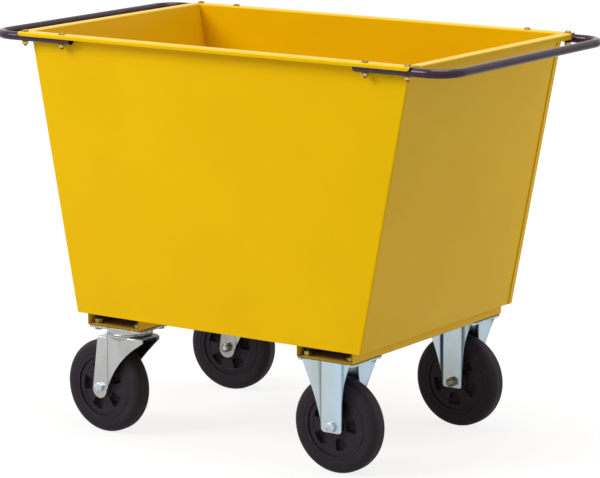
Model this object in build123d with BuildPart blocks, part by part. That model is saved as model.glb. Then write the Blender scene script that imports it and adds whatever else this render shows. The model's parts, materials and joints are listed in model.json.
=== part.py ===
from build123d import *
import math
import os

# A hand-pushed feed cart. X runs along its length, with the fixed castors at +X, -Y is its front side,
# and the origin is on the floor under the middle of the tub. Sizes are in millimetres.

# Tub of folded sheet
sheet = 2.0
tub_length_top = 939.0
tub_length_bottom = 711.0
tub_width = 592.0
tub_height = 587.0
bend_radius = 3.0
wrap_width = 15.0
rim_width = 27.0
rim_lip = 8.5
rim_overhang = 13.0
lip_corner = 6.0
end_rim_width = 21.0
end_rim_lip = 11.0

# Cross members under the floor
member_depth = 26.0
member_width = 134.0
member_sheet = 3.0
member_inset = 7.5
member_bend = 5.0

# Handles of bent tube
tube_diameter = 18.0
tube_wall = 1.5
handle_reach = 93.5
handle_bend = 52.0
handle_tail = 24.0
handle_bolt_pitch = 97.5
handle_bolt_overhang = 2.5
lip_gap = 1.0
handle_bolt = 8.0
handle_head_diameter = 14.0
handle_head_height = 4.6
handle_head_edge = 0.9
handle_nut_flats = 13.0
handle_nut_height = 6.5
handle_bolt_tip = 3.0

# Castors
castor_height = 240.0
castor_inset_x = 89.5
castor_inset_y = 64.0
castor_trail = 59.0
front_swivel_turn = -2.5
rear_swivel_turn = 6.5
front_swivel_roll = 34.0
rear_swivel_roll = 12.0
front_fixed_roll = 4.0
rear_fixed_roll = 52.0
plate_length = 135.0
plate_width = 114.0
plate_sheet = 4.0
plate_corner = 10.0
bolt_pitch_x = 103.0
bolt_pitch_y = 78.0
plate_bolt = 10.0
plate_bolt_flats = 16.0
plate_bolt_head = 6.4
plate_nut_height = 8.0
plate_bolt_tip = 3.0
washer_diameter = 20.0
washer_thickness = 2.0

# Forks of pressed sheet
fork_sheet = 3.0
fork_gap = 57.0
leg_below_axle = 12.5
leg_top_width = 112.0
leg_low_width = 50.0
leg_corner = 9.0
leg_sweep = 6.0
wing_flare = 22.0
wing_bow = 5.0
wing_crease = 3.0
plate_bend = 2.5

# Swivel heads
crown_sheet = 4.0
crown_drop = 20.0
crown_front = 57.0
crown_rear = 39.0
crown_width = 57.0
crown_bend = 6.0
bowl_diameter = 90.0
bowl_foot = 60.0
bowl_edge = 3.0
bowl_depth = 12.0
bowl_bow = 2.5
leg_front_drop = 11.0
leg_front_bow = 9.5
leg_swell = 9.5
strip_bend = 2.5
strip_top_drop = 9.0
strip_top_rear = 63.0
tip_radius = 18.5
tip_drop = 5.0
skirt_diameter = 94.0
skirt_wall = 2.0
skirt_bead = 1.8
skirt_gap = 1.5
race_diameter = 84.0
lower_race = 4.0
ball_circle = 72.0
ball_diameter = 8.0
ball_count = 18
race_cover = 2.0
king_pin = 12.0
king_head_diameter = 24.0
king_head = 5.0
king_cup_diameter = 52.0
king_cup_floor = 4.0
king_nut_flats = 19.0
king_nut_height = 8.0
king_pin_tip = 2.0

# Wheels
wheel_diameter = 200.0
tyre_width = 46.0
tyre_shoulder = 16.0
tyre_groove_radius = 72.0
tyre_groove = 0.9
rim_radius = 60.5
rim_flange_radius = 63.5
rim_band_width = 40.0
rim_flange_width = 3.0
pocket_radius = 52.0
pocket_foot = 27.0
pocket_corner = 3.0
web_thickness = 6.0
spoke_count = 5
spoke_angle = 36.0
spoke_recess = 1.5
hub_radius = 24.0
hub_length = 56.0

# Axles and bearings
axle_bolt = 12.0
axle_flats = 19.0
axle_head = 7.5
axle_nut = 10.0
axle_tip = 3.0
sleeve_diameter = 18.0
roller_diameter = 5.0
roller_length = 38.0
roller_count = 10

# Clearances
hole_clearance = 0.5
pin_clearance = 0.06
seat_clearance = 0.05
turn_clearance = 0.3

# Places that follow from the sizes
half_top = tub_length_top / 2
half_bottom = tub_length_bottom / 2
half_width = tub_width / 2
castor_x = half_bottom - castor_inset_x
castor_y = half_width - castor_inset_y
inner_half_width = half_width - sheet
tub_bottom = castor_height + member_depth
rim_height = tub_bottom + tub_height
rim_under = rim_height - sheet
lean = (half_top - half_bottom) / tub_height
sheet_run = sheet * math.hypot(1, lean)
rim_edge = half_width + rim_width
tube_radius = tube_diameter / 2
tube_y = rim_edge - sheet - lip_gap - tube_radius
tube_z = rim_under - seat_clearance - tube_radius
handle_bolt_x = half_top + handle_bolt_overhang
wheel_radius = wheel_diameter / 2
plate_under = castor_height - plate_sheet
crown_top = castor_height - crown_drop
crown_under = crown_top - crown_sheet
leg_inner = fork_gap / 2
leg_outer = leg_inner + fork_sheet
ball_height = crown_top + lower_race - race_cover + ball_diameter / 2
sleeve_radius = sleeve_diameter / 2
roller_circle = sleeve_radius + turn_clearance + roller_diameter / 2
hub_bore = roller_circle + roller_diameter / 2 + seat_clearance


def keep(builder, name):
    """Labels a finished piece and writes it under its name."""
    builder.part.label = name
    export_step(builder.part, f"parts/{name}.step")


def end_face(height, sheets_in=0):
    """Distance from the middle of the tub to its sloping end, some sheets in from the outside."""
    return half_bottom + lean * (height - tub_bottom) - sheets_in * sheet_run


class Castor:
    """One castor's place: planes and axes at its turn about its upright axis, behind it by its trail."""

    def __init__(self, name, x, y, roll, turn=0.0, trail=0.0):
        self.name = name
        self.roll = roll
        self.centre = (x, y)
        self.outward = 1 if y < 0 else -1
        self.floor = Plane((x, y, 0)).rotated((0, 0, turn))
        self.upright = Plane(self.floor.origin, self.floor.x_dir, -self.floor.y_dir)
        self.across = Plane(self.floor.origin, self.floor.y_dir, self.floor.x_dir)
        self.king = Axis((x, y, 0), (0, 0, 1))
        hub = self.floor.from_local_coords((-trail, 0, wheel_radius))
        self.wheel = Plane(hub, self.floor.x_dir, -self.floor.y_dir)
        self.section = Plane(hub, self.wheel.z_dir, -self.wheel.x_dir)
        self.axle = Axis(hub, self.wheel.z_dir)


swivels = [
    Castor("swivel_front", -castor_x, -castor_y, front_swivel_roll, front_swivel_turn, castor_trail),
    Castor("swivel_rear", -castor_x, castor_y, rear_swivel_roll, rear_swivel_turn, castor_trail),
]
fixed_castors = [
    Castor("fixed_front", castor_x, -castor_y, front_fixed_roll),
    Castor("fixed_rear", castor_x, castor_y, rear_fixed_roll),
]
castors = swivels + fixed_castors


def side_panel(name, side):
    """Flat side with a wrapped flange at each sloping edge and a rim flange with a lip at the top."""
    outside = Plane.XZ.offset(-side * half_width)
    wall_top = rim_height - 2 * bend_radius
    fold_out = half_width + bend_radius
    rim_length = 2 * (half_top + rim_overhang)
    with BuildPart() as panel:
        with BuildSketch(outside):
            with BuildLine():
                Polyline(
                    (-end_face(tub_bottom), tub_bottom),
                    (end_face(tub_bottom), tub_bottom),
                    (end_face(wall_top), wall_top),
                    (-end_face(wall_top), wall_top),
                    close=True,
                )
            make_face()
        extrude(amount=side * sheet)
        for end in (-1, 1):
            with BuildSketch(outside):
                with BuildLine():
                    Polyline(
                        (end * end_face(tub_bottom), tub_bottom),
                        (end * end_face(wall_top), wall_top),
                        (end * end_face(wall_top, 1), wall_top),
                        (end * end_face(tub_bottom, 1), tub_bottom),
                        close=True,
                    )
                make_face()
            extrude(amount=side * wrap_width)
        outer_edges = panel.faces().sort_by(Axis.Y)[0 if side < 0 else -1].edges()
        fillet([outer_edges.sort_by(Axis.X)[0], outer_edges.sort_by(Axis.X)[-1]], radius=bend_radius)
        with BuildSketch(Plane.XY.offset(rim_under)):
            with Locations((0, side * (fold_out + rim_edge) / 2)):
                Rectangle(rim_length, rim_edge - fold_out)
        extrude(amount=sheet)
        with BuildSketch(Plane.XZ.offset(-side * rim_edge)) as lip:
            with Locations((0, rim_height - rim_lip / 2)):
                Rectangle(rim_length, rim_lip)
            fillet(lip.vertices().group_by(Axis.Y)[0], radius=lip_corner)
        extrude(amount=side * sheet)
        top_edges = panel.edges().filter_by(Axis.X).group_by(Axis.Z)[-1].sort_by(Axis.Y)
        fillet(top_edges[0 if side < 0 else -1], radius=bend_radius)
        with BuildSketch(Plane.YZ) as fold:
            with BuildLine():
                Polyline(
                    (side * inner_half_width, wall_top),
                    (side * inner_half_width, rim_height),
                    (side * fold_out, rim_height),
                    (side * fold_out, rim_under),
                    (side * half_width, rim_under),
                    (side * half_width, wall_top),
                    close=True,
                )
            make_face()
            top_corners = fold.vertices().group_by(Axis.Y)[-1].sort_by(Axis.X)
            fillet(top_corners[-1 if side < 0 else 0], radius=bend_radius)
        extrude(amount=end_face(wall_top), both=True)
        with BuildSketch(Plane.XY.offset(rim_height)):
            with Locations(*handle_bolt_places(side)):
                Circle((handle_bolt + hole_clearance) / 2)
        extrude(amount=-2 * sheet, mode=Mode.SUBTRACT)
    keep(panel, name)


def handle_bolt_places(side):
    """Bolt positions along one side's rim, two at each end."""
    along = (handle_bolt_x, handle_bolt_x - handle_bolt_pitch)
    return [(end * x, side * tube_y) for end in (-1, 1) for x in along]


def end_panel(name, end):
    """Sloping end between the side panels, folded outwards at the top into a rim with a lip."""
    rim_out = half_top + end_rim_width
    with BuildPart() as panel:
        with BuildSketch(Plane.XZ) as profile:
            with BuildLine():
                Polyline(
                    (end * end_face(tub_bottom, 2), tub_bottom),
                    (end * end_face(rim_height, 2), rim_height),
                    (end * rim_out, rim_height),
                    (end * rim_out, rim_height - end_rim_lip),
                    (end * (rim_out - sheet), rim_height - end_rim_lip),
                    (end * (rim_out - sheet), rim_under),
                    (end * end_face(rim_under, 1), rim_under),
                    (end * end_face(tub_bottom, 1), tub_bottom),
                    close=True,
                )
            make_face()
            fillet(profile.vertices().group_by(Axis.Y)[-1], radius=bend_radius)
        extrude(amount=inner_half_width, both=True)
    keep(panel, name)


def floor_pan():
    """Flat floor between the four walls, its ends bevelled to the sloping end panels."""
    floor_top = tub_bottom + sheet
    with BuildPart() as pan:
        with BuildSketch(Plane.XZ):
            with BuildLine():
                Polyline(
                    (-end_face(tub_bottom, 2), tub_bottom),
                    (end_face(tub_bottom, 2), tub_bottom),
                    (end_face(floor_top, 2), floor_top),
                    (-end_face(floor_top, 2), floor_top),
                    close=True,
                )
            make_face()
        extrude(amount=inner_half_width, both=True)
    keep(pan, "floor_pan")


def plate_bolt_places(castor):
    """The four bolt positions of one castor's plate."""
    x, y = castor.centre
    return [(x + i * bolt_pitch_x / 2, y + j * bolt_pitch_y / 2) for i in (-1, 1) for j in (-1, 1)]


def cross_member(name, end):
    """Channel across the cart, open upwards to the floor, with the castors bolted under its web."""
    with BuildPart() as member:
        with BuildSketch(Plane.XZ) as outer:
            with Locations((end * castor_x, castor_height + member_depth / 2)):
                Rectangle(member_width, member_depth)
            fillet(outer.vertices().group_by(Axis.Y)[0], radius=member_bend)
        extrude(amount=half_width - member_inset, both=True)
        with BuildSketch(Plane.XZ) as inner:
            with Locations((end * castor_x, castor_height + member_sheet + member_depth / 2)):
                Rectangle(member_width - 2 * member_sheet, member_depth)
            fillet(inner.vertices().group_by(Axis.Y)[0], radius=member_bend - member_sheet)
        extrude(amount=half_width, both=True, mode=Mode.SUBTRACT)
        for castor in castors:
            if castor.centre[0] * end > 0:
                with BuildSketch(Plane.XY.offset(castor_height)):
                    with Locations(*plate_bolt_places(castor)):
                        Circle((plate_bolt + hole_clearance) / 2)
                extrude(amount=member_sheet, mode=Mode.SUBTRACT)
    keep(member, name)


def handle(name, end):
    """Tube bent into a long U, its legs bolted under the rims of the two side panels."""
    tail_x = handle_bolt_x - handle_bolt_pitch - handle_tail
    run_x = half_top + handle_reach
    with BuildPart() as tube:
        with BuildLine(Plane.XY.offset(tube_z)):
            route = FilletPolyline(
                (end * tail_x, -tube_y),
                (end * run_x, -tube_y),
                (end * run_x, tube_y),
                (end * tail_x, tube_y),
                radius=handle_bend,
            )
        with BuildSketch(Plane(route @ 0, z_dir=route % 0)):
            Circle(tube_radius)
            Circle(tube_radius - tube_wall, mode=Mode.SUBTRACT)
        sweep(path=route)
        with BuildSketch(Plane.XY.offset(rim_height)):
            with Locations(*handle_bolt_places(-1), *handle_bolt_places(1)):
                Circle((handle_bolt + hole_clearance) / 2)
        extrude(amount=-2 * (tube_diameter + sheet), mode=Mode.SUBTRACT)
    keep(tube, name)


def hexagon(flats):
    """Hexagon of a size across its flats, with the flats facing along local Y."""
    RegularPolygon(flats / 2, 6, major_radius=False)


def handle_fasteners():
    """Domed bolts through the rims and the tubes, and their nuts under the tubes."""
    places = handle_bolt_places(-1) + handle_bolt_places(1)
    nut_top = tube_z - tube_radius - seat_clearance
    bolt_end = nut_top - handle_nut_height - handle_bolt_tip
    with BuildPart() as bolts:
        with BuildSketch(Plane.XY.offset(rim_height)):
            with Locations(*places):
                Circle(handle_head_diameter / 2)
        extrude(amount=handle_head_height)
        fillet(bolts.edges().group_by(Axis.Z)[-1], radius=handle_head_height - handle_head_edge)
        with BuildSketch(Plane.XY.offset(bolt_end)):
            with Locations(*places):
                Circle(handle_bolt / 2)
        extrude(amount=rim_height - bolt_end)
    keep(bolts, "handle_bolts")
    with BuildPart() as nuts:
        with BuildSketch(Plane.XY.offset(nut_top)):
            with Locations(*places):
                hexagon(handle_nut_flats)
                Circle(handle_bolt / 2 + seat_clearance, mode=Mode.SUBTRACT)
        extrude(amount=-handle_nut_height)
    keep(nuts, "handle_nuts")


def plate_fasteners():
    """Bolts up through the castor plates and the channels, with washers and nuts in the channels."""
    places = [place for castor in castors for place in plate_bolt_places(castor)]
    washer_under = castor_height + member_sheet
    nut_under = washer_under + washer_thickness
    bolt_end = nut_under + plate_nut_height + plate_bolt_tip
    with BuildPart() as bolts:
        with BuildSketch(Plane.XY.offset(plate_under)):
            with Locations(*places):
                hexagon(plate_bolt_flats)
        extrude(amount=-plate_bolt_head)
        with BuildSketch(Plane.XY.offset(plate_under)):
            with Locations(*places):
                Circle(plate_bolt / 2)
        extrude(amount=bolt_end - plate_under)
    keep(bolts, "castor_plate_bolts")
    with BuildPart() as washers:
        with BuildSketch(Plane.XY.offset(washer_under)):
            with Locations(*places):
                Circle(washer_diameter / 2)
                Circle((plate_bolt + hole_clearance) / 2, mode=Mode.SUBTRACT)
        extrude(amount=washer_thickness)
    keep(washers, "castor_plate_washers")
    with BuildPart() as nuts:
        with BuildSketch(Plane.XY.offset(nut_under)):
            with Locations(*places):
                hexagon(plate_bolt_flats)
                Circle(plate_bolt / 2 + seat_clearance, mode=Mode.SUBTRACT)
        extrude(amount=plate_nut_height)
    keep(nuts, "castor_plate_nuts")


def plate_outline(castor):
    """Rounded castor plate with its four bolt holes, in the sketch at hand."""
    with Locations(castor.centre):
        RectangleRounded(plate_length, plate_width, plate_corner)
    with Locations(*plate_bolt_places(castor)):
        Circle((plate_bolt + hole_clearance) / 2, mode=Mode.SUBTRACT)


def swivel_plate(castor):
    """Top plate drawn down into the upper ball race, with a skirt round the race."""
    cup_floor = ball_height + race_cover + king_cup_floor
    with BuildPart() as plate:
        with BuildSketch(Plane.XY.offset(plate_under)):
            plate_outline(castor)
        extrude(amount=plate_sheet)
        with BuildSketch(Plane.XY.offset(ball_height + race_cover)):
            with Locations(castor.centre):
                Circle(race_diameter / 2)
        extrude(until=Until.NEXT)
        with BuildSketch(Plane.XY.offset(crown_top + skirt_gap)):
            with Locations(castor.centre):
                Circle(skirt_diameter / 2)
                Circle(skirt_diameter / 2 - skirt_wall, mode=Mode.SUBTRACT)
        extrude(amount=plate_under - crown_top - skirt_gap)
        with BuildSketch(castor.upright):
            with Locations((skirt_diameter / 2, crown_top + skirt_gap + skirt_bead)):
                Circle(skirt_bead)
        revolve(axis=castor.king)
        with BuildSketch(Plane.XY.offset(cup_floor)):
            with Locations(castor.centre):
                Circle(king_cup_diameter / 2)
        extrude(amount=castor_height - cup_floor, mode=Mode.SUBTRACT)
        with BuildSketch(Plane.XY.offset(cup_floor)):
            with Locations(castor.centre):
                Circle(king_pin / 2 + seat_clearance)
        extrude(amount=-2 * king_cup_floor, mode=Mode.SUBTRACT)
        with BuildSketch(castor.upright):
            with Locations((ball_circle / 2, ball_height)):
                Circle(ball_diameter / 2 + turn_clearance)
        revolve(axis=castor.king, mode=Mode.SUBTRACT)
    keep(plate, f"top_plate_{castor.name}")


def king_pin_and_nut(castor):
    """Pin riveted through the top plate, with the nut that holds the fork's crown up on it."""
    cup_floor = ball_height + race_cover + king_cup_floor
    nut_top = crown_under - turn_clearance
    pin_end = nut_top - king_nut_height - king_pin_tip
    with BuildPart() as pin:
        with BuildSketch(Plane.XY.offset(cup_floor)):
            with Locations(castor.centre):
                Circle(king_head_diameter / 2)
        extrude(amount=king_head)
        with BuildSketch(Plane.XY.offset(pin_end)):
            with Locations(castor.centre):
                Circle(king_pin / 2)
        extrude(amount=cup_floor - pin_end)
    keep(pin, f"king_pin_{castor.name}")
    with BuildPart() as nut:
        with BuildSketch(Plane.XY.offset(nut_top)):
            with Locations(castor.centre):
                hexagon(king_nut_flats)
                Circle(king_pin / 2 + seat_clearance, mode=Mode.SUBTRACT)
        extrude(amount=-king_nut_height)
    keep(nut, f"king_nut_{castor.name}")


def race_balls(castor):
    """Ring of balls between the crown and the top plate."""
    x, y = castor.centre
    with BuildPart(Plane((x, y, ball_height))) as balls:
        with PolarLocations(ball_circle / 2, ball_count):
            Sphere(ball_diameter / 2)
    keep(balls, f"race_balls_{castor.name}")


def bowl_section(castor, inset, top):
    """Half section of the bowl under a swivel fork's crown, set in from its outside, up to a height."""
    rim = bowl_diameter / 2 - inset
    foot = bowl_foot / 2 - inset
    edge_z = crown_top - bowl_edge - inset
    foot_z = crown_top - bowl_depth
    with BuildSketch(castor.upright) as section:
        with BuildLine():
            Polyline((foot, foot_z), (0, foot_z), (0, top), (rim, top), (rim, edge_z))
            SagittaArc((rim, edge_z), (foot, foot_z), bowl_bow)
        make_face()
    return section.sketch


def fork_plan(castor, front):
    """A swivel fork from above: two flat trailing strips, each with a wing that swells out to the front."""
    crease = fork_sheet - crown_rear
    rear = -2 * wheel_radius
    tip = crown_width / 2
    with BuildSketch(castor.floor) as plan:
        with BuildLine():
            Polyline((crease, leg_outer), (rear, leg_outer), (rear, -leg_outer), (crease, -leg_outer))
            SagittaArc((crease, -leg_outer), (crown_front, -tip), -leg_swell)
            Polyline((crown_front, -tip), (front, -tip), (front, tip), (crown_front, tip))
            SagittaArc((crown_front, tip), (crease, leg_outer), -leg_swell)
        make_face()
    return plan.sketch


def swivel_fork(castor):
    """Pressed fork: a bowled crown with the lower race, and two swelling legs that sweep back to the axle."""
    axle_x = -castor_trail
    tip_z = wheel_radius - tip_drop
    strip_top = crown_top - strip_top_drop
    strip_under = strip_top - fork_sheet
    tip_front = (axle_x + tip_radius, tip_z)
    crown_tip = (crown_front, crown_top - leg_front_drop)
    crease = fork_sheet - crown_rear
    plan_front = crown_front + crown_drop
    with BuildPart() as fork:
        extrude(fork_plan(castor, plan_front), amount=crown_top)
        with BuildSketch(castor.upright):
            with BuildLine():
                Line((-crown_rear, crown_top), (crown_front, crown_top))
                Line((crown_front, crown_top), crown_tip)
                SagittaArc(crown_tip, tip_front, -leg_front_bow)
                ThreePointArc(
                    tip_front,
                    (axle_x, tip_z - tip_radius),
                    (axle_x - tip_radius, tip_z),
                )
                Polyline(
                    (axle_x - tip_radius, tip_z),
                    (-strip_top_rear, strip_top),
                    (-crown_rear, strip_top),
                    (-crown_rear, crown_top),
                )
            make_face()
        extrude(amount=plate_width, both=True, mode=Mode.INTERSECT)
        along = Axis(castor.floor.origin, castor.floor.x_dir)
        strip_tops = fork.edges().filter_by(along).filter_by_position(Axis.Z, strip_under, crown_under)
        fillet(strip_tops, radius=strip_bend)
        crown_edges = fork.edges().group_by(Axis.Z)[-1]
        fillet(crown_edges.filter_by(GeomType.CIRCLE), radius=crown_bend)
        revolve(bowl_section(castor, 0, crown_top), axis=castor.king)
        inside = offset(fork_plan(castor, 2 * plan_front), -fork_sheet, mode=Mode.PRIVATE)
        extrude(inside, amount=strip_under, mode=Mode.SUBTRACT)
        with BuildSketch(castor.floor):
            add(castor.floor.to_local_coords(inside))
            with Locations((crease, 0)):
                Rectangle(plate_length, plate_width, align=(Align.MIN, Align.CENTER), mode=Mode.INTERSECT)
        extrude(amount=crown_under, mode=Mode.SUBTRACT)
        revolve(bowl_section(castor, fork_sheet, crown_under), axis=castor.king, mode=Mode.SUBTRACT)
        with BuildSketch(Plane.XY.offset(crown_top)):
            with Locations(castor.centre):
                Circle(race_diameter / 2)
        extrude(amount=lower_race)
        with BuildSketch(Plane.XY.offset(crown_under)):
            with Locations(castor.centre):
                Circle(king_pin / 2 + pin_clearance)
        extrude(amount=crown_sheet + lower_race, mode=Mode.SUBTRACT)
        with BuildSketch(castor.upright):
            with Locations((ball_circle / 2, ball_height)):
                Circle(ball_diameter / 2 + seat_clearance)
        revolve(axis=castor.king, mode=Mode.SUBTRACT)
        axle_holes(castor)
    keep(fork, f"fork_{castor.name}")


def axle_holes(castor):
    """Holes for the axle bolt through both legs of the fork at hand."""
    with BuildSketch(castor.wheel) as bore:
        Circle(axle_bolt / 2 + pin_clearance)
    extrude(bore.sketch, amount=fork_gap, both=True, mode=Mode.SUBTRACT)


def leg_line(side):
    """Outside of a fixed fork's leg from above: a flat middle with a wing bowed outwards at each side."""
    crease = leg_low_width / 2
    tip = leg_top_width / 2
    tip_out = side * (leg_outer + wing_flare)
    with BuildLine() as line:
        SagittaArc((-tip, tip_out), (-crease, side * leg_outer), side * wing_bow)
        Line((-crease, side * leg_outer), (crease, side * leg_outer))
        SagittaArc((crease, side * leg_outer), (tip, tip_out), side * wing_bow)
        fillet(line.vertices().sort_by(Axis.X)[1:-1], radius=wing_crease)
    return line.line


def fixed_fork(castor):
    """Fork pressed in one piece with its plate: legs folded down, their sides winged out to the plate."""
    leg_low = wheel_radius - leg_below_axle
    tip = leg_top_width / 2
    tip_out = leg_outer + wing_flare
    with BuildPart() as fork:
        for side in (-1, 1):
            with BuildSketch(castor.floor.offset(leg_low)):
                with BuildLine():
                    add(leg_line(side))
                    offset(amount=fork_sheet, side=Side.RIGHT if side > 0 else Side.LEFT)
                make_face()
            extrude(amount=plate_under - leg_low)
        with BuildSketch(castor.upright) as outline:
            with BuildLine():
                Polyline(
                    (-leg_low_width / 2, wheel_radius),
                    (-leg_low_width / 2, leg_low),
                    (leg_low_width / 2, leg_low),
                    (leg_low_width / 2, wheel_radius),
                )
                SagittaArc((leg_low_width / 2, wheel_radius), (tip, plate_under), leg_sweep)
                Line((tip, plate_under), (-tip, plate_under))
                SagittaArc((-tip, plate_under), (-leg_low_width / 2, wheel_radius), leg_sweep)
            make_face()
            fillet(outline.vertices().group_by(Axis.Y)[0], radius=leg_corner)
        extrude(amount=plate_width, both=True, mode=Mode.INTERSECT)
        with BuildSketch(Plane.XY.offset(plate_under)):
            plate_outline(castor)
        extrude(amount=plate_sheet)
        for side in (-1, 1):
            with BuildSketch(castor.floor.offset(plate_under)):
                with BuildLine():
                    add(leg_line(side))
                    Polyline(
                        (tip, side * tip_out),
                        (tip, side * plate_width),
                        (-tip, side * plate_width),
                        (-tip, side * tip_out),
                    )
                make_face()
            extrude(amount=plate_sheet, mode=Mode.SUBTRACT)
        reach = Axis((castor.centre[0], 0, 0), (1, 0, 0))
        plate_edges = fork.edges().group_by(Axis.Z)[-1]
        fillet(plate_edges.filter_by_position(reach, -leg_low_width, leg_low_width), radius=plate_bend)
        axle_holes(castor)
    keep(fork, f"fork_{castor.name}")


def axle(castor):
    """Axle bolt with its head towards the cart's outside, its nut, and the sleeve between the legs."""
    head_face = castor.wheel.offset(castor.outward * leg_outer)
    nut_face = castor.wheel.offset(-castor.outward * leg_outer)
    bolt_length = 2 * leg_outer + axle_nut + axle_tip
    with BuildPart() as bolt:
        with BuildSketch(head_face):
            hexagon(axle_flats)
        extrude(amount=castor.outward * axle_head)
        with BuildSketch(head_face):
            Circle(axle_bolt / 2)
        extrude(amount=-castor.outward * bolt_length)
    keep(bolt, f"axle_bolt_{castor.name}")
    with BuildPart() as nut:
        with BuildSketch(nut_face):
            hexagon(axle_flats)
            Circle(axle_bolt / 2 + seat_clearance, mode=Mode.SUBTRACT)
        extrude(amount=-castor.outward * axle_nut)
    keep(nut, f"axle_nut_{castor.name}")
    with BuildPart() as sleeve:
        with BuildSketch(castor.wheel):
            Circle(sleeve_radius)
            Circle(axle_bolt / 2 + pin_clearance, mode=Mode.SUBTRACT)
        extrude(amount=leg_inner, both=True)
    keep(sleeve, f"axle_sleeve_{castor.name}")


def wheel(castor):
    """Rollers, moulded rim with spokes between its pockets, and solid rubber tyre."""
    with BuildPart() as rollers:
        with BuildSketch(castor.wheel):
            with PolarLocations(roller_circle, roller_count):
                Circle(roller_diameter / 2)
        extrude(amount=roller_length / 2, both=True)
    keep(rollers, f"bearing_rollers_{castor.name}")

    spoke_face = rim_band_width / 2 - spoke_recess
    spoke_flare = math.tan(math.radians(spoke_angle / 2))
    with BuildPart() as rim:
        with BuildSketch(castor.section):
            with Locations((0, (hub_bore + hub_radius) / 2)):
                Rectangle(hub_length, hub_radius - hub_bore)
            with Locations((0, (hub_radius + pocket_radius) / 2)):
                Rectangle(2 * spoke_face, pocket_radius - hub_radius)
            with Locations((0, (pocket_radius + rim_radius) / 2)):
                Rectangle(rim_band_width, rim_radius - pocket_radius)
            for side in (-1, 1):
                edge_x = side * (rim_band_width - rim_flange_width) / 2
                with Locations((edge_x, (rim_radius + rim_flange_radius) / 2)):
                    Rectangle(rim_flange_width, rim_flange_radius - rim_radius)
        revolve(axis=castor.axle)
        for side in (-1, 1):
            with BuildSketch(castor.wheel.offset(side * spoke_face)) as pockets:
                Circle(pocket_radius)
                Circle(pocket_foot, mode=Mode.SUBTRACT)
                with PolarLocations(0, spoke_count, start_angle=castor.roll + 180 / spoke_count):
                    spoke_end = (2 * pocket_radius, 2 * pocket_radius * spoke_flare)
                    Polygon((0, 0), (spoke_end[0], -spoke_end[1]), spoke_end, align=None, mode=Mode.SUBTRACT)
                fillet(pockets.vertices(), radius=pocket_corner)
            extrude(amount=side * (web_thickness / 2 - spoke_face), mode=Mode.SUBTRACT)
    keep(rim, f"wheel_rim_{castor.name}")

    seat_width = rim_band_width - 2 * (rim_flange_width + seat_clearance)
    with BuildPart() as tyre:
        with BuildSketch(castor.section) as profile:
            with Locations((0, (rim_flange_radius + seat_clearance + wheel_radius) / 2)):
                Rectangle(tyre_width, wheel_radius - rim_flange_radius - seat_clearance)
            fillet(profile.vertices().group_by(Axis.Y)[-1], radius=tyre_shoulder)
            with Locations((0, (rim_radius + rim_flange_radius) / 2 + seat_clearance)):
                Rectangle(seat_width, rim_flange_radius - rim_radius)
            for side in (-1, 1):
                with Locations((side * tyre_width / 2, tyre_groove_radius)):
                    Circle(tyre_groove, mode=Mode.SUBTRACT)
        revolve(axis=castor.axle)
    keep(tyre, f"tyre_{castor.name}")


os.makedirs("parts", exist_ok=True)
side_panel("side_panel_front", -1)
side_panel("side_panel_rear", 1)
end_panel("end_panel_left", -1)
end_panel("end_panel_right", 1)
floor_pan()
cross_member("cross_member_left", -1)
cross_member("cross_member_right", 1)
handle("handle_left", -1)
handle("handle_right", 1)
handle_fasteners()
plate_fasteners()
for castor in swivels:
    swivel_plate(castor)
    king_pin_and_nut(castor)
    race_balls(castor)
    swivel_fork(castor)
for castor in fixed_castors:
    fixed_fork(castor)
for castor in castors:
    axle(castor)
    wheel(castor)
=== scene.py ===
import json
import math
import bpy
import numpy as np
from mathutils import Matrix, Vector


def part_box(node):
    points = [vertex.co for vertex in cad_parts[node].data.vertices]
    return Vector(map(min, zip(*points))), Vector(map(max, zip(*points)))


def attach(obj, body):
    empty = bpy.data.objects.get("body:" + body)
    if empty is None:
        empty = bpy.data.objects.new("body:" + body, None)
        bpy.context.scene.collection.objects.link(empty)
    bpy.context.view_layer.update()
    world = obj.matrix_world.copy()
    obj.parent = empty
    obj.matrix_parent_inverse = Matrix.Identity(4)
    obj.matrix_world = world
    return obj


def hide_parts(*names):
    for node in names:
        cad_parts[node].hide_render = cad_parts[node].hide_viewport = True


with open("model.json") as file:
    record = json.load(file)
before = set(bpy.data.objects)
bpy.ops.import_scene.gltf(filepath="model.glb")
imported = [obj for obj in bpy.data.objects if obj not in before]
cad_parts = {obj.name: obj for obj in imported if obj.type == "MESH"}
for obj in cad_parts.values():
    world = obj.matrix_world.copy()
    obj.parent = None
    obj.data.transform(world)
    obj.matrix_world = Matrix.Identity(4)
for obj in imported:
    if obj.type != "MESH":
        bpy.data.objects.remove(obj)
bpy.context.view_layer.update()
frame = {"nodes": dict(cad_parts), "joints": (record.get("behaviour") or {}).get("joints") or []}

# The view
# A long lens a good way off, a little above the rim, looks down on the corner between the front side and
# the end with the fixed castors.
camera_place = (3.5841, -5.2280, 1.6526)
camera_turn = math.radians(34.36)
camera_dip = math.radians(11.06)
camera_lens = 183.65
film_width = 36.0
view_reach = 100.0
camera_data = bpy.data.cameras.new("camera")
camera_data.lens = camera_lens
camera_data.sensor_width = film_width
camera_data.sensor_fit = "HORIZONTAL"
camera_data.clip_end = view_reach
camera = bpy.data.objects.new("camera", camera_data)
camera.location = camera_place
camera.rotation_euler = (math.pi / 2 - camera_dip, 0.0, camera_turn)
bpy.context.scene.collection.objects.link(camera)
bpy.context.scene.camera = camera
bpy.context.scene.view_settings.view_transform = "Standard"


# The studio
# A wide pale floor that carries the cart's soft shadow, an even white surround, two broad lamps, high at
# the front left and overhead, and a small one close behind the far edge of the end with the fixed castors.
floor_half = 22.0
floor_shadow_reach = (1.6, 3.6)
floor_whiteness = 0.72
floor_gloss_share = 0.3
floor_glow = 1.16
floor_grey = 0.70
surround_light = 0.355
plain_white = (1.0, 1.0, 1.0, 1.0)


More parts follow.
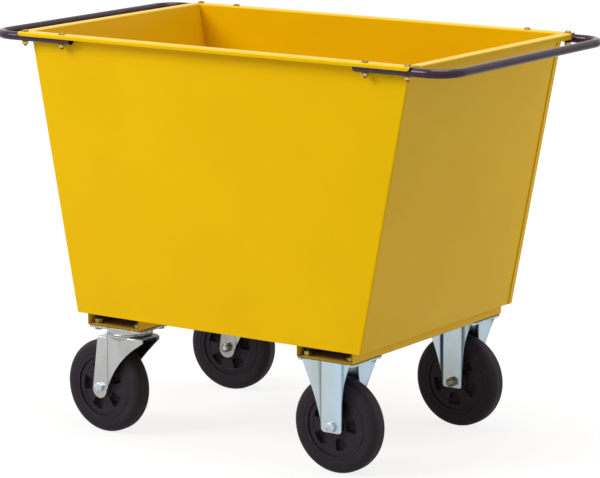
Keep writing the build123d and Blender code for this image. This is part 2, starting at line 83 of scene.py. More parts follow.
def new_material(name):
    """A material with its node tree and its surface shader."""
    made = bpy.data.materials.new(name)
    made.use_nodes = True
    return made, made.node_tree, made.node_tree.nodes["Principled BSDF"]


def node(tree, kind, settings=(), **inputs):
    """Adds one shader node; a socket, by name or as s and its number, gets a value or another's output."""
    made = tree.nodes.new("ShaderNode" + kind)
    for name, value in dict(settings).items():
        setattr(made, name, value)
    for name, value in inputs.items():
        socket = made.inputs[int(name[1:])] if name[1:].isdigit() else made.inputs[name.replace("_", " ")]
        if isinstance(value, bpy.types.NodeSocket):
            tree.links.new(value, socket)
        else:
            socket.default_value = value
    return made


def sums(tree, operation, first, second):
    """Two values joined by one sum."""
    return node(tree, "Math", {"operation": operation}, s0=first, s1=second).outputs[0]


def spread(tree, value, found, given):
    """Carries a value from the range it is found in to a given one, and holds it there."""
    low, high = found
    to_low, to_high = given
    return node(tree, "MapRange", s0=value, s1=low, s2=high, s3=to_low, s4=to_high).outputs[0]


def seen_directly(tree, in_gloss):
    """1 for rays from the camera, a share of it from gloss or glass, 0 for the light's own bounces."""
    path = node(tree, "LightPath").outputs
    gloss = sums(tree, "MAXIMUM", path["Is Glossy Ray"], path["Is Transmission Ray"])
    return sums(tree, "MAXIMUM", path["Is Camera Ray"], sums(tree, "MULTIPLY", gloss, in_gloss))


def studio_floor():
    """A flat square under the cart, white to the eye and a plain pale floor to the light."""
    corners = [(-1, -1), (1, -1), (1, 1), (-1, 1)]
    mesh = bpy.data.meshes.new("studio_floor")
    mesh.from_pydata([(x * floor_half, y * floor_half, 0.0) for x, y in corners], [], [(0, 1, 2, 3)])
    floor = bpy.data.objects.new("studio_floor", mesh)
    bpy.context.scene.collection.objects.link(floor)
    made, tree, shader = new_material("pale_floor")
    tree.nodes.remove(shader)
    pale = node(tree, "BsdfDiffuse", Color=(floor_grey, floor_grey, floor_grey, 1.0))
    white = node(tree, "Emission", Color=plain_white, Strength=floor_glow)
    place = node(tree, "TexCoord").outputs["Object"]
    way = node(tree, "VectorMath", {"operation": "LENGTH"}, s0=place).outputs["Value"]
    whiteness = spread(tree, way, floor_shadow_reach, (floor_whiteness, 1.0))
    share = sums(tree, "MULTIPLY", seen_directly(tree, floor_gloss_share), whiteness)
    mixed = node(tree, "MixShader", s0=share, s1=pale.outputs[0], s2=white.outputs[0])
    tree.links.new(mixed.outputs[0], tree.nodes["Material Output"].inputs["Surface"])
    mesh.materials.append(made)


def surround():
    """An even white surround: full white where it is seen, softer where it lights the cart."""
    world = bpy.data.worlds.new("surround")
    world.use_nodes = True
    tree = world.node_tree
    level = spread(tree, seen_directly(tree, 1.0), (0.0, 1.0), (surround_light, 1.0))
    sky = tree.nodes["Background"]
    sky.inputs["Color"].default_value = plain_white
    tree.links.new(level, sky.inputs["Strength"])
    bpy.context.scene.world = world


def lamp(name, place, aim, width, power, in_gloss):
    """A square soft box at a place, turned towards a point, that shows in gloss or only lights it."""
    data = bpy.data.lights.new(name, "AREA")
    data.shape = "SQUARE"
    data.size = width
    data.energy = power
    made = bpy.data.objects.new(name, data)
    made.location = place
    made.rotation_euler = (Vector(aim) - Vector(place)).to_track_quat("-Z", "Y").to_euler()
    made.visible_camera = False
    made.visible_glossy = in_gloss
    bpy.context.scene.collection.objects.link(made)


studio_floor()
surround()
lamp("front_lamp", place=(-3.0, -4.2, 4.0), aim=(-0.1, 0.0, 0.5), width=2.8, power=252.0, in_gloss=True)
lamp("top_lamp", place=(0.4, 0.2, 5.0), aim=(0.0, 0.0, 0.6), width=2.6, power=130.0, in_gloss=True)
lamp("end_lamp", place=(0.88, 0.88, 0.58), aim=(0.42, 0.25, 0.48), width=0.5, power=1.8, in_gloss=False)


# The tub and its cross members
# Folded sheet steel under a thick yellow powder coat: a fine orange-peel skin over slightly wavy sheet,
# with a pale lemon tone where things lie flat, partly dust and partly a painted highlight, faint scuffs from
# use, and painted shade in the coat's own corners and folds. The channels' cut ends are darkened with
# painted shade, and their insides are painted dark brown as shade that fades out towards their open ends.
coat_yellow = (0.80, 0.474, 0.0004, 1.0)
coat_deep = (0.775, 0.453, 0.0003, 1.0)
# A pale lemon tone on flat-lying faces: partly dust, partly a painted highlight.
coat_dust_and_top_light = (0.66, 0.47, 0.045, 1.0)
# Painted shade in the coat's own corners and folds.
coat_crevice_shade = (0.22, 0.125, 0.004, 1.0)
# Painted shade on the channels' cut ends.
cut_end_shade_colour = (0.11, 0.090, 0.014, 1.0)
# Painted shade: a dark brown laid inside the channels where shade falls, and in the fasteners' corners.
painted_shade_brown = (0.30, 0.20, 0.11, 1.0)
coat_gloss_tint = (1.0, 0.86, 0.03, 1.0)
coat_gloss_level = 0.42
coat_roughness = (0.30, 0.38)
scuffed_roughness = 0.16
channel_inside_roughness = 0.3
coat_cloud_scale = 5.0
gloss_cloud_scale = 14.0
top_dust_and_light_scale = 38.0
top_dust_and_light_most = 0.22
top_dust_and_light_from_level = (0.75, 0.98)
coat_shade_reach = 0.012
coat_shade_most = 0.55
scuff_scale = 60.0
scuff_stretch = (1.0, 1.0, 0.12)
wave_scale = 2.6
wave_depth = 0.0010
peel_scale = 420.0
peel_depth = 0.00004
folded_edge = 0.0014
channel_place = 0.266
channel_half = 0.0655
channel_low = 0.2412
channel_high = 0.2665
channel_shade_fade = (0.262, 0.287)
cut_ends_below = 0.2650
cut_end_facing = (0.5, 0.9)
cut_end_shade_most = 0.9
open_to_air = (0.35, 0.8)
whole_range = (0.0, 1.0)


def grain(tree, scale, detail=2.0, roughness=0.5, stretch=(1.0, 1.0, 1.0)):
    """A cloudy pattern fixed to the piece, by its own coordinates; stretch draws it out along an axis."""
    place = node(tree, "TexCoord").outputs["Object"]
    mapped = node(tree, "Mapping", Vector=place, Scale=stretch).outputs[0]
    cloud = node(tree, "TexNoise", Vector=mapped, Scale=scale, Detail=detail, Roughness=roughness)
    return cloud.outputs["Fac"]


def tint(tree, share, first, second):
    """A colour between two, by a share."""
    return node(tree, "Mix", {"data_type": "RGBA"}, s0=share, s6=first, s7=second).outputs[2]


def relief(tree, height, depth, under=None):
    """Small relief on the surface, of a depth in metres, laid over another relief if there is one."""
    made = node(tree, "Bump", Height=height, Distance=depth)
    if under is not None:
        tree.links.new(under, made.inputs["Normal"])
    return made.outputs[0]


def soft_edges(tree, radius):
    """The surface's direction with its sharp edges rounded off by a small radius."""
    return node(tree, "Bevel", {"samples": 4}, Radius=radius).outputs[0]


def occlusion_share(tree, reach, most):
    """A share by how closed in a spot is, nothing in the open and the most in the piece's own corners and
    creases; it places painted shade, and in the wheel rims painted fill light.
    """
    openness = node(tree, "AmbientOcclusion", {"samples": 6, "only_local": True}, Distance=reach)
    return spread(tree, openness.outputs["AO"], open_to_air, (most, 0.0))


def set_gloss(shader, level, colour):
    """Sets how strong a coat's gloss is and what colour it takes on."""
    shader.inputs["Specular IOR Level"].default_value = level
    shader.inputs["Specular Tint"].default_value = colour


def channel_shade_mask(tree):
    """Where painted shade goes inside the cross members, by place: 1 within a channel's width and height,
    fading out to its ends.
    """
    place = node(tree, "SeparateXYZ", Vector=node(tree, "TexCoord").outputs["Object"]).outputs
    off_side = sums(tree, "ABSOLUTE", place["X"], 0.0)
    off_middle = sums(tree, "ABSOLUTE", sums(tree, "SUBTRACT", off_side, channel_place), 0.0)
    across = sums(tree, "LESS_THAN", off_middle, channel_half)
    above = sums(tree, "GREATER_THAN", place["Z"], channel_low)
    below = sums(tree, "LESS_THAN", place["Z"], channel_high)
    inwards = spread(tree, sums(tree, "ABSOLUTE", place["Y"], 0.0), channel_shade_fade, (1.0, 0.0))
    upright = sums(tree, "MULTIPLY", above, below)
    return sums(tree, "MULTIPLY", sums(tree, "MULTIPLY", across, upright), inwards)


def yellow_coat():
    """Powder coat on sheet: orange peel, slow waves, dust and a painted highlight on flat-lying faces,
    painted shade in folds, on the channels' cut ends and inside the channels, scuffs.
    """
    made, tree, shader = new_material("yellow_powder_coat")
    clouds = spread(tree, grain(tree, coat_cloud_scale), (0.35, 0.65), whole_range)
    paint = tint(tree, clouds, coat_yellow, coat_deep)
    facing = node(tree, "SeparateXYZ", Vector=node(tree, "NewGeometry").outputs["Normal"]).outputs
    height = node(tree, "SeparateXYZ", Vector=node(tree, "TexCoord").outputs["Object"]).outputs["Z"]
    # Painted shade on the channels' cut ends: the faces that look front or back below the tub's floor.
    endwise = spread(tree, sums(tree, "ABSOLUTE", facing["Y"], 0.0), cut_end_facing, (0.0, cut_end_shade_most))
    cut_end_shade = sums(tree, "MULTIPLY", endwise, sums(tree, "LESS_THAN", height, cut_ends_below))
    # Faces that point up take the paler tone in patches: partly dust, partly a painted highlight.
    lying = spread(tree, facing["Z"], top_dust_and_light_from_level, (0.0, top_dust_and_light_most))
    dust_and_light = sums(tree, "MULTIPLY", lying, grain(tree, top_dust_and_light_scale, detail=4.0))
    ends_shaded = tint(tree, cut_end_shade, tint(tree, dust_and_light, paint, coat_dust_and_top_light), cut_end_shade_colour)
    # Painted shade in the coat's own corners and folds, by how closed in each spot is.
    crevices_shaded = tint(tree, occlusion_share(tree, coat_shade_reach, coat_shade_most), ends_shaded, coat_crevice_shade)
    # Painted shade inside the channels, fading out towards their open ends.
    channel_shade = channel_shade_mask(tree)
    tree.links.new(tint(tree, channel_shade, crevices_shaded, painted_shade_brown), shader.inputs["Base Color"])
    set_gloss(shader, coat_gloss_level, coat_gloss_tint)
    rubbed = grain(tree, scuff_scale, detail=5.0, roughness=0.7, stretch=scuff_stretch)
    scuffs = spread(tree, rubbed, (0.60, 0.72), (0.0, scuffed_roughness))
    base = spread(tree, grain(tree, gloss_cloud_scale, detail=3.0), (0.3, 0.7), coat_roughness)
    dull = sums(tree, "ADD", sums(tree, "ADD", base, scuffs), sums(tree, "MULTIPLY", channel_shade, channel_inside_roughness))
    tree.links.new(dull, shader.inputs["Roughness"])
    waves = relief(tree, grain(tree, wave_scale, detail=1.0), wave_depth, soft_edges(tree, folded_edge))
    peel = relief(tree, grain(tree, peel_scale, detail=1.0), peel_depth, waves)
    tree.links.new(peel, shader.inputs["Normal"])
    return made


def dress(finish, *names):
    """Gives CAD nodes a finish."""
    for name in names:
        slots = frame["nodes"][name].data.materials
        slots.clear()
        slots.append(finish)


dress(
    yellow_coat(),
    "side_panel_front", "side_panel_rear", "end_panel_left", "end_panel_right", "floor_pan",
    "cross_member_left", "cross_member_right",
)


# The handles
# Steel tube bent into a long U and dipped in black enamel, glossy with a purple cast, bolted under the
# rims.
enamel_black = (0.032, 0.0175, 0.0280, 1.0)
enamel_worn = (0.044, 0.029, 0.039, 1.0)
enamel_gloss_tint = (1.0, 0.70, 0.92, 1.0)
enamel_gloss_level = 0.32
enamel_roughness = (0.09, 0.16)
enamel_rub_scale = 22.0
enamel_skin_scale = 520.0
enamel_skin_depth = 0.00002


def black_enamel():
    """Glossy black enamel with a fine skin and duller, paler patches where hands rub it."""
    made, tree, shader = new_material("black_enamel")
    rubbed = spread(tree, grain(tree, enamel_rub_scale, detail=3.0), (0.45, 0.75), whole_range)
    tree.links.new(tint(tree, rubbed, enamel_black, enamel_worn), shader.inputs["Base Color"])
    set_gloss(shader, enamel_gloss_level, enamel_gloss_tint)
    tree.links.new(spread(tree, rubbed, whole_range, enamel_roughness), shader.inputs["Roughness"])
    skin = relief(tree, grain(tree, enamel_skin_scale, detail=1.0), enamel_skin_depth)
    tree.links.new(skin, shader.inputs["Normal"])
    return made


dress(black_enamel(), "handle_left", "handle_right")


# The handle screws
# Eight domed M8 screws stand through the rims and the tubes, each with a hexagon nut under the tube. Both
# are zinc plated and passivated; the domes are darkened to olive as a painted dark reflection, and the nuts,
# in the shade under the tubes, are lightened to a paler straw as painted light.
dome_width = 0.014
dome_height = 0.0046
dome_edge = 0.0009
dome_rings = 11
handle_screw_radius = 0.004
handle_thread = 0.00125
handle_screw_pitch = 0.0975
handle_nut_flats = 0.013
thread_depth_share = 0.6
thread_rings = 8
hexagon_face_share = 0.475
hexagon_cone = math.tan(math.radians(30))
nut_mouth_share = 0.06
screw_turn = np.linspace(0.0, 2.0 * np.pi, 48, endpoint=False)
spin_step = 2.4
sharp_from = math.radians(32)
up = np.array((0.0, 0.0, 1.0))
# Painted dark reflection: the domes' olive is darkened to look like a dark surround reflected in them.
olive_pale = (0.30, 0.215, 0.060, 1.0)
olive_dark = (0.17, 0.120, 0.035, 1.0)
# Painted light: the nuts' straw is paler to lift them out of the shade under the tubes.
straw_pale = (0.74, 0.56, 0.200, 1.0)
straw_dark = (0.52, 0.39, 0.130, 1.0)
passivated_roughness = (0.28, 0.42)
passivated_cloud_scale = 150.0
passivated_skin_scale = 900.0
passivated_skin_depth = 0.00002
fastener_shade_reach = 0.003
fastener_shade_most = 0.7


def rings(turn, steps):
    """Rings about an axis: a step's radius, the same all round or not, at each angle, and its height."""
    cosine, sine = np.cos(turn), np.sin(turn)
    rows = [np.broadcast_arrays(radius * cosine, radius * sine, height) for radius, height in steps]
    return np.stack([np.stack(row, axis=-1) for row in rows])


def coned_hexagon(turn, flats):
    """A hexagon's radius, half its flats by the cosine to the nearest flat, its round face and the cone."""
    side = flats / 2 / np.cos(turn % (np.pi / 3) - np.pi / 6)
    face = hexagon_face_share * flats
    return side, face, (side - face) * hexagon_cone


def dome(width, height, edge):
    """Steps of a domed head from the top to its seat: a quarter of an ellipse on a thin upright edge."""
    bend = np.linspace(0.0, np.pi / 2, dome_rings)[1:]
    curve = zip(width / 2 * np.sin(bend), -edge - (height - edge) * np.cos(bend))
    return [*curve, (width / 2, 0.0)]


def threaded_end(turn, radius, pitch, start, end):
    """Steps of a thread: the radius dips once a pitch, a pitch on for each turn, and narrows at the tip."""
    depth = thread_depth_share * pitch
    heights = np.append(np.arange(start, end, pitch / thread_rings), end)[:, None]
    dips = np.abs(2 * ((heights / pitch - turn / (2 * np.pi)) % 1) - 1)
    tip = radius - depth + end - heights
    return list(zip(np.minimum(radius - depth * dips, tip), heights[:, 0]))


def nut(turn, flats, bore, height):
    """Steps round a nut, from its bore over a face, the hexagon and the other face, with coned corners."""
    side, face, cone = coned_hexagon(turn, flats)
    mouth = nut_mouth_share * flats
    return [
        (bore, mouth), (bore + mouth, 0.0), (face, 0.0), (side, cone),
        (side, height - cone), (face, height), (bore + mouth, height), (bore, height - mouth),
    ]


def set_at(shape, places, along, spins):
    """Copies of a shape, each spun about its own axis, laid along a direction and moved to its place."""
    along = np.array(along) / np.linalg.norm(along)
    side = np.cross(along, (0.0, 1.0, 0.0) if abs(along[1]) < 0.9 else (1.0, 0.0, 0.0))
    side = side / np.linalg.norm(side)
    cosine = np.cos(spins)[:, None, None]
    sine = np.sin(spins)[:, None, None]
    first = cosine * shape[..., 0] - sine * shape[..., 1]
    second = sine * shape[..., 0] + cosine * shape[..., 1]
    third = np.broadcast_to(shape[..., 2], first.shape)
    axes = np.stack([side, np.cross(along, side), along])
    return np.array(places)[:, None, None] + np.stack([first, second, third], axis=-1) @ axes


def ring_mesh(name, copies, hollow):
    """Faces between neighbouring rings; a hollow shape's last ring joins its first, others end in fans."""
    count, rows, columns = copies.shape[:3]
    here = np.arange(count * rows * columns).reshape(count, rows, columns)
    points = copies.reshape(-1, 3)
    ends = []
    if hollow:
        here = np.concatenate([here, here[:, :1]], axis=1)
    right = np.roll(here, -1, axis=2)
    if not hollow:
        top = np.broadcast_to(len(points) + np.arange(count)[:, None], (count, columns))
        tip = top + count
        fans = [
            np.stack([top, right[:, 0], here[:, 0]], axis=-1),
            np.stack([tip, here[:, -1], right[:, -1]], axis=-1),
        ]
        ends = np.concatenate(fans).reshape(-1, 3).tolist()
        points = np.concatenate([points, copies[:, 0].mean(axis=1), copies[:, -1].mean(axis=1)])
    sides = np.stack([here[:, :-1], right[:, :-1], right[:, 1:], here[:, 1:]], axis=-1).reshape(-1, 4)
    mesh = bpy.data.meshes.new(name)
    mesh.from_pydata(points.tolist(), [], sides.tolist() + ends)
    mesh.shade_smooth()
    mesh.set_sharp_from_angle(angle=sharp_from)
    return mesh


def fit(mesh, finish, body, slot, *nodes):
    """Puts a finished mesh on a body, in place of the CAD nodes it stands for."""
    mesh.materials.append(finish)
    piece = bpy.data.objects.new(mesh.name, mesh)
    bpy.context.scene.collection.objects.link(piece)
    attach(piece, body)
    if nodes:
        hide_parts(*nodes)


def passivated(name, pale, dark):
    """Passivated zinc on small turned pieces: cloudy colour and gloss, with painted shade in the corners."""
    made, tree, shader = new_material(name)
    clouds = spread(tree, grain(tree, passivated_cloud_scale, detail=3.0), (0.35, 0.68), whole_range)
    # Painted shade in the fastener's own corners.
    painted_shade = occlusion_share(tree, fastener_shade_reach, fastener_shade_most)
    tree.links.new(tint(tree, painted_shade, tint(tree, clouds, pale, dark), painted_shade_brown), shader.inputs["Base Color"])
    shader.inputs["Metallic"].default_value = 1.0
    tree.links.new(spread(tree, clouds, whole_range, passivated_roughness), shader.inputs["Roughness"])
    skin = relief(tree, grain(tree, passivated_skin_scale), passivated_skin_depth)
    tree.links.new(skin, shader.inputs["Normal"])
    return made


olive_zinc = passivated("olive_zinc", olive_pale, olive_dark)
straw_zinc = passivated("straw_zinc", straw_pale, straw_dark)
screw_low, screw_high = np.array(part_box("handle_bolts"))
nut_low, nut_high = np.array(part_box("handle_nuts"))
screw_x, screw_y, rim_top = screw_high - (dome_width / 2, dome_width / 2, dome_height)
screw_places = np.array([
    (end * x, side * screw_y, 0.0)
    for end in (-1, 1) for side in (-1, 1) for x in (screw_x, screw_x - handle_screw_pitch)
])
screw_spins = spin_step * np.arange(len(screw_places))
thread_from, thread_to = rim_top - nut_high[2], rim_top - screw_low[2]
handle_screw = rings(screw_turn, [
    *dome(dome_width, dome_height, dome_edge), (handle_screw_radius, 0.0),
    *threaded_end(screw_turn, handle_screw_radius, handle_thread, thread_from, thread_to),
])
handle_nut = rings(
    screw_turn, nut(screw_turn, handle_nut_flats, handle_screw_radius, nut_high[2] - nut_low[2]),
)
screws_set = set_at(handle_screw, screw_places + rim_top * up, -up, screw_spins)
nuts_set = set_at(handle_nut, screw_places + nut_low[2] * up, up, screw_spins)
fit(ring_mesh("handle_screws", screws_set, False), olive_zinc, "cart", "zinc_plate", "handle_bolts")
fit(ring_mesh("handle_screw_nuts", nuts_set, True), straw_zinc, "cart", "zinc_plate", "handle_nuts")


# Castor plates and forks
# Pressed sheet steel with a bright zinc plate: bluish on the fixed castors, a warmer grey on the swivel
# ones, in slow upright bands of tint, with the press's draw lines, painted shade in their corners and dark
# lines of painted shade along the upright creases.
castor_names = ("swivel_front", "swivel_rear", "fixed_front", "fixed_rear")
swivel_names = castor_names[:2]
fixed_names = castor_names[2:]
joints = {joint["name"]: joint for joint in frame["joints"]}
# The dark blue of painted shade in the forks' corners and along their creases.
zinc_crevice_shade = (0.045, 0.060, 0.075, 1.0)
blue_zinc_tints = ((0.51, 0.68, 0.84, 1.0), (0.54, 0.61, 0.60, 1.0))
grey_zinc_tints = ((0.52, 0.53, 0.53, 1.0), (0.44, 0.44, 0.415, 1.0))
zinc_roughness = (0.18, 0.30)
zinc_shade_reach = 0.010
zinc_shade_most = 0.6
band_scale = 24.0
band_stretch = (1.0, 1.0, 0.3)
gloss_band_scale = 40.0
swell_scale = 20.0
swell_depth = 0.0022
swell_stretch = (1.0, 1.0, 0.4)
draw_line_scale = 240.0
draw_line_depth = 0.00003
draw_line_stretch = (1.0, 1.0, 0.08)
pressed_edge = 0.0008
plate_level = 0.235
fixed_creases = (-0.025, 0.025)
swivel_creases = (-0.036,)
crease_core_share = 0.35
# Painted shade lines along the forks' creases, wider and darker on the rear fixed castor.
crease_shade_widths = {"swivel_front": 0.0012, "swivel_rear": 0.0012, "fixed_front": 0.0016, "fixed_rear": 0.0038}
crease_shade_shares = {"swivel_front": 0.8, "swivel_rear": 0.8, "fixed_front": 0.55, "fixed_rear": 1.0}


def castor_turn(name):
    """How far a castor stands turned about its upright axis, from the direction of its axle."""
    x, y, _ = joints[f"wheel_{name}_roll"]["axis"]
    return math.atan2(-x, y)


def crease_shade_lines(tree, centre, turn, creases, width):
    """Painted shade lines: 1 by place on upright lines along the turned castor, falling to 0 past a width
    and none on top.
    """
    place = node(tree, "TexCoord").outputs["Object"]
    middle = (centre[0], centre[1], 0.0)
    about_up = {"rotation_type": "Z_AXIS"}
    straight = node(tree, "VectorRotate", about_up, Vector=place, Center=middle, Angle=-turn)
    axes = node(tree, "SeparateXYZ", Vector=straight.outputs[0]).outputs
    along = sums(tree, "SUBTRACT", axes["X"], middle[0])
    painted_shade = 0.0
    for crease in creases:
        off_line = sums(tree, "ABSOLUTE", sums(tree, "SUBTRACT", along, crease), 0.0)
        line = spread(tree, off_line, (crease_core_share * width, width), (1.0, 0.0))
        painted_shade = sums(tree, "MAXIMUM", painted_shade, line)
    return sums(tree, "MULTIPLY", painted_shade, sums(tree, "LESS_THAN", axes["Z"], plate_level))


def zinc_plate(name, tints, centre, creases):
    """Bright zinc on wavy sheet: bands of tint and gloss, draw lines, painted shade in corners and along
    creases.
    """
    made, tree, shader = new_material(f"zinc_{name}")
    bands = spread(tree, grain(tree, band_scale, stretch=band_stretch), (0.38, 0.64), whole_range)
    lines = crease_shade_lines(tree, centre, castor_turn(name), creases, crease_shade_widths[name])
    creased = sums(tree, "MULTIPLY", lines, crease_shade_shares[name])
    # Painted shade: darker in the fork's own corners and along its creases.
    painted_shade = sums(tree, "MAXIMUM", occlusion_share(tree, zinc_shade_reach, zinc_shade_most), creased)
    tree.links.new(tint(tree, painted_shade, tint(tree, bands, *tints), zinc_crevice_shade), shader.inputs["Base Color"])
    shader.inputs["Metallic"].default_value = 1.0
    gloss_bands = grain(tree, gloss_band_scale, detail=3.0, stretch=swell_stretch)
    tree.links.new(spread(tree, gloss_bands, (0.3, 0.7), zinc_roughness), shader.inputs["Roughness"])
    swells = grain(tree, swell_scale, detail=1.0, stretch=swell_stretch)
    waves = relief(tree, swells, swell_depth, soft_edges(tree, pressed_edge))
    drawn = relief(tree, grain(tree, draw_line_scale, stretch=draw_line_stretch), draw_line_depth, waves)
    tree.links.new(drawn, shader.inputs["Normal"])
    return made


for name in fixed_names:
    centre = joints[f"wheel_{name}_roll"]["pos_m"]
    dress(zinc_plate(name, blue_zinc_tints, centre, fixed_creases), f"fork_{name}")
for name in swivel_names:
    centre = joints[f"{name}_turn"]["pos_m"]
    finish = zinc_plate(name, grey_zinc_tints, centre, swivel_creases)
    dress(finish, f"fork_{name}", f"top_plate_{name}", f"king_pin_{name}")


# The castor plate screws
# Sixteen M10 hexagon screws come up through the plates and the channels, dull grey, each with a washer and a
# nut inside the channel, yellow partly from passivating and partly as a painted reflection of the yellow
# channel.
plate_screw_radius = 0.005
plate_thread = 0.0015
plate_screw_flats = 0.016
plate_screw_reach = np.array((0.0515, 0.039, 0.0))
plate_screw_spin = 0.2
plate_nut_spin = 0.6
plate_sheet = 0.004
washer_radius = 0.010
washer_bore = 0.00525
washer_edge = 0.0004
head_face = 0.0004
# The nuts' and washers' yellow is partly a passivated finish and partly a painted reflection of the yellow
# channel.
brass_pale = (0.44, 0.355, 0.105, 1.0)
brass_dark = (0.27, 0.215, 0.062, 1.0)
dull_pale = (0.27, 0.27, 0.235, 1.0)
dull_dark = (0.15, 0.15, 0.130, 1.0)


def hexagon_head(turn, flats, height):
    """Steps of a hexagon head from its top to its seat: a cone cuts the corners, a round face sits below."""
    side, face, cone = coned_hexagon(turn, flats)
    return [(face, -height), (side, cone - height), (side, -head_face), (face, -head_face), (face, 0.0)]


def washer(radius, bore, thickness):
    """Steps round a washer from its bore over both faces, with its outer edges just broken."""
    return [
        (bore, 0.0), (radius - washer_edge, 0.0), (radius, washer_edge),
        (radius, thickness - washer_edge), (radius - washer_edge, thickness), (bore, thickness),
    ]


yellow_zinc = passivated("yellow_zinc", brass_pale, brass_dark)
dull_zinc = passivated("dull_zinc", dull_pale, dull_dark)
head_low, tip_high = (corner[2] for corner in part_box("castor_plate_bolts"))
washer_low, washer_high = (corner[2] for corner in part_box("castor_plate_washers"))
plate_nut_low, plate_nut_high = (corner[2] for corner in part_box("castor_plate_nuts"))
plate_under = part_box("top_plate_swivel_front")[1][2] - plate_sheet
plate_centres = [joints[f"{name}_turn"]["pos_m"] for name in swivel_names]
plate_centres += [joints[f"wheel_{name}_roll"]["pos_m"] for name in fixed_names]
plate_places = np.array([
    centre * np.array((1.0, 1.0, 0.0)) + plate_screw_reach * (i, j, 0.0)
    for centre in np.array(plate_centres) for i in (-1, 1) for j in (-1, 1)
])
plate_spins = np.sin(spin_step * np.arange(len(plate_places)))
plate_screw = rings(screw_turn, [
    *hexagon_head(screw_turn, plate_screw_flats, plate_under - head_low), (plate_screw_radius, 0.0),
    *threaded_end(
        screw_turn, plate_screw_radius, plate_thread, plate_nut_low - plate_under, tip_high - plate_under,
    ),
])
plate_washer = rings(screw_turn, washer(washer_radius, washer_bore, washer_high - washer_low))
plate_nut = rings(
    screw_turn, nut(screw_turn, plate_screw_flats, plate_screw_radius, plate_nut_high - plate_nut_low),
)
screws_set = set_at(plate_screw, plate_places + plate_under * up, up, plate_screw_spin * plate_spins)
washers_set = set_at(plate_washer, plate_places + washer_low * up, up, plate_screw_spin * plate_spins)
nuts_set = set_at(plate_nut, plate_places + plate_nut_low * up, up, plate_nut_spin * plate_spins)
fit(ring_mesh("plate_screws", screws_set, False), dull_zinc, "cart", "zinc_plate", "castor_plate_bolts")
fit(ring_mesh("plate_washers", washers_set, True), yellow_zinc, "cart", "zinc_plate", "castor_plate_washers")
fit(ring_mesh("plate_nuts", nuts_set, True), yellow_zinc, "cart", "zinc_plate", "castor_plate_nuts")


# Axle screws and king nuts
# An M12 hexagon screw carries each wheel, bluish, with its head on the outer leg and a dull nut on the inner
# one; on the rear fixed castor the screw itself is dull, as painted shade. A nut of that size holds each
# swivel fork up on its pin.
axle_radius = 0.006
axle_thread = 0.00175
axle_flats = 0.019
axle_head = 0.0075
axle_nut = 0.010
axle_tip = 0.003
axle_spin_step = 0.7
leg_outer = 0.0315
king_nut = 0.008
silver_pale = (0.66, 0.74, 0.80, 1.0)
silver_dark = (0.42, 0.49, 0.55, 1.0)
silver_zinc = passivated("silver_zinc", silver_pale, silver_dark)
axle_screw = rings(screw_turn, [
    *hexagon_head(screw_turn, axle_flats, axle_head), (axle_radius, 0.0),
    *threaded_end(screw_turn, axle_radius, axle_thread, 2 * leg_outer, 2 * leg_outer + axle_nut + axle_tip),
])
axle_end_nut = rings(screw_turn, nut(screw_turn, axle_flats, axle_radius, axle_nut))
pin_nut = rings(screw_turn, nut(screw_turn, axle_flats, axle_radius, king_nut))
for step, name in enumerate(castor_names):
    roll = joints[f"wheel_{name}_roll"]
    middle = np.array(roll["pos_m"])
    outwards = np.sign(middle[1]) * np.array(roll["axis"])
    body = name if name in swivel_names else "cart"
    spin = np.array([axle_spin_step * step])
    screw_set = set_at(axle_screw, [middle + leg_outer * outwards], -outwards, spin)
    nut_set = set_at(axle_end_nut, [middle - leg_outer * outwards], -outwards, spin)
    screw_mesh = ring_mesh(f"axle_screw_{name}", screw_set, False)
    nut_mesh = ring_mesh(f"axle_end_nut_{name}", nut_set, True)
    # Painted shade: the rear fixed castor's axle screw takes the dull finish, darker than the other axle
    # screws.
    finish = dull_zinc if name == "fixed_rear" else silver_zinc
    fit(screw_mesh, finish, body, "zinc_plate", f"axle_bolt_{name}")
    fit(nut_mesh, dull_zinc, body, "zinc_plate", f"axle_nut_{name}")
for name in swivel_names:
    low, high = np.array(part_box(f"king_nut_{name}"))
    foot = (low + high) / 2 - king_nut / 2 * up
    nut_set = set_at(pin_nut, [foot], up, np.zeros(1))
    fit(ring_mesh(f"pin_nut_{name}", nut_set, True), dull_zinc, "cart", "zinc_plate", f"king_nut_{name}")


# Balls, rollers and sleeves
# Ground bearing steel under a film of grease: the balls run in the swivel castors' races, the rollers round
# the sleeves on which the wheels turn.
steel_grey = (0.58, 0.57, 0.55, 1.0)
steel_dark = (0.40, 0.38, 0.35, 1.0)
steel_roughness = (0.16, 0.30)
grease_scale = 90.0


def bearing_steel():
    """Ground steel, brighter and duller by turns under its grease."""
    made, tree, shader = new_material("bearing_steel")
    film = spread(tree, grain(tree, grease_scale, detail=3.0), (0.35, 0.7), whole_range)
    tree.links.new(tint(tree, film, steel_grey, steel_dark), shader.inputs["Base Color"])
    tree.links.new(spread(tree, film, whole_range, steel_roughness), shader.inputs["Roughness"])
    shader.inputs["Metallic"].default_value = 1.0
    return made


steel = bearing_steel()
for name in castor_names:
    dress(steel, f"axle_sleeve_{name}", f"bearing_rollers_{name}")
for name in swivel_names:
    dress(steel, f"race_balls_{name}")


# Wheel rims
# Black moulded plastic with a fine eroded mould texture, paler in the pockets between its ribs: partly dust,
# partly painted fill light that lifts their shade.
plastic_black = (0.0085, 0.0064, 0.0092, 1.0)
plastic_grey = (0.0130, 0.0100, 0.0136, 1.0)
# The pale tone in the rims' corners: partly dust, partly painted fill light.
plastic_dust_and_fill_light = (0.115, 0.092, 0.120, 1.0)
wheel_gloss_tint = (1.0, 0.86, 0.98, 1.0)
wheel_gloss_level = 0.26
plastic_roughness = (0.42, 0.56)
plastic_patch_scale = 30.0
plastic_dust_and_light_scale = 60.0
plastic_dust_and_light_shares = (0.5, 1.0)
plastic_fill_light_reach = 0.016
plastic_grain_scale = 900.0
plastic_grain_depth = 0.00005


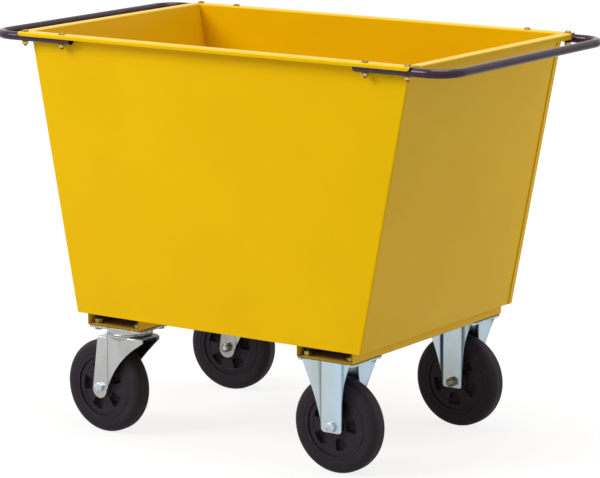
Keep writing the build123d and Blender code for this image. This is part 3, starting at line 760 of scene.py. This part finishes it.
def moulded_plastic():
    """Matt black plastic, a little greyer in patches, with a fine grain and a paler tone in the corners,
    partly dust and partly painted fill light.
    """
    made, tree, shader = new_material("moulded_plastic")
    patches = spread(tree, grain(tree, plastic_patch_scale, detail=3.0), (0.35, 0.7), whole_range)
    dust_and_light = spread(tree, grain(tree, plastic_dust_and_light_scale, detail=4.0), (0.3, 0.7), plastic_dust_and_light_shares)
    # Paler in the corners: partly dust, partly painted fill light lifting the pockets' shade.
    pocket_dust_and_light = sums(tree, "MULTIPLY", occlusion_share(tree, plastic_fill_light_reach, 1.0), dust_and_light)
    black = tint(tree, patches, plastic_black, plastic_grey)
    tree.links.new(tint(tree, pocket_dust_and_light, black, plastic_dust_and_fill_light), shader.inputs["Base Color"])
    set_gloss(shader, wheel_gloss_level, wheel_gloss_tint)
    tree.links.new(spread(tree, patches, whole_range, plastic_roughness), shader.inputs["Roughness"])
    fine = grain(tree, plastic_grain_scale)
    grainy = relief(tree, fine, plastic_grain_depth, soft_edges(tree, pressed_edge))
    tree.links.new(grainy, shader.inputs["Normal"])
    return made


dress(moulded_plastic(), *(f"wheel_rim_{name}" for name in castor_names))


# Tyres
# Solid black rubber, pressed on the rims, with dust on the tread and a fine raised line round its middle
# where the two halves of the mould met.
rubber_black = (0.0095, 0.0069, 0.0100, 1.0)
rubber_dust = (0.034, 0.028, 0.034, 1.0)
rubber_roughness = (0.52, 0.75)
rubber_dust_scale = 34.0
rubber_dust_most = 0.6
rubber_grain_scale = 700.0
rubber_grain_depth = 0.00008
mould_line_width = 0.0012
mould_line_height = 0.00025
mould_line_foot = 0.0006
mould_line_rings = 7
tyre_turn = np.linspace(0.0, 2.0 * np.pi, 288, endpoint=False)


def tyre_rubber():
    """Matt rubber with a fine grain and a pale dust in patches."""
    made, tree, shader = new_material("tyre_rubber")
    patches = grain(tree, rubber_dust_scale, detail=5.0, roughness=0.65)
    dust = spread(tree, patches, (0.5, 0.8), (0.0, rubber_dust_most))
    tree.links.new(tint(tree, dust, rubber_black, rubber_dust), shader.inputs["Base Color"])
    set_gloss(shader, wheel_gloss_level, wheel_gloss_tint)
    dull = spread(tree, dust, (0.0, rubber_dust_most), rubber_roughness)
    tree.links.new(dull, shader.inputs["Roughness"])
    fine = relief(tree, grain(tree, rubber_grain_scale, detail=3.0), rubber_grain_depth)
    tree.links.new(fine, shader.inputs["Normal"])
    return made


def mould_line(radius):
    """Steps of a low ridge round the tread: its height falls with the square of the way from the middle."""
    across = np.linspace(-1.0, 1.0, mould_line_rings)
    ridge = radius + mould_line_height * (1 - across ** 2)
    foot = radius - mould_line_foot
    half = mould_line_width / 2
    return [(foot, -half), *zip(ridge, half * across), (foot, half)]


rubber = tyre_rubber()
for name in castor_names:
    dress(rubber, f"tyre_{name}")
    roll = joints[f"wheel_{name}_roll"]
    line = set_at(rings(tyre_turn, mould_line(roll["pos_m"][2])), [roll["pos_m"]], roll["axis"], np.zeros(1))
    fit(ring_mesh(f"tyre_line_{name}", line, True), rubber, f"wheel_{name}", "black_rubber")
